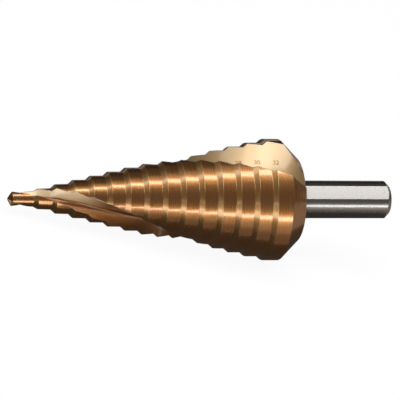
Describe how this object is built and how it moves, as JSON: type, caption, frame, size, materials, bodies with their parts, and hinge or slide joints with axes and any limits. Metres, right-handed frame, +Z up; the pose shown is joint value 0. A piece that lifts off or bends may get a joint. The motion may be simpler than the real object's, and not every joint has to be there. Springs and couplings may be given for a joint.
{
  "type": "step drill",
  "caption": "Conical stepped drill bit for sheet metal, with helical flutes, a relieved point and a round shank with ground flats for the chuck jaws.",
  "frame": {"origin": "on the surface that the drill lies on, under the centre of its bounding box", "axes": "+Z up, +X along the drill from its point towards its shank; the axis itself slopes up towards +X, because the drill lies on its steps"},
  "size_m": [0.0992, 0.0316, 0.0308],
  "materials": {
    "coated_steel": "ground high speed steel with a gold titanium nitride coating; the shank is bare"
  },
  "bodies": {
    "root": {"step_drill": "coated_steel"}
  },
  "joints": []
}
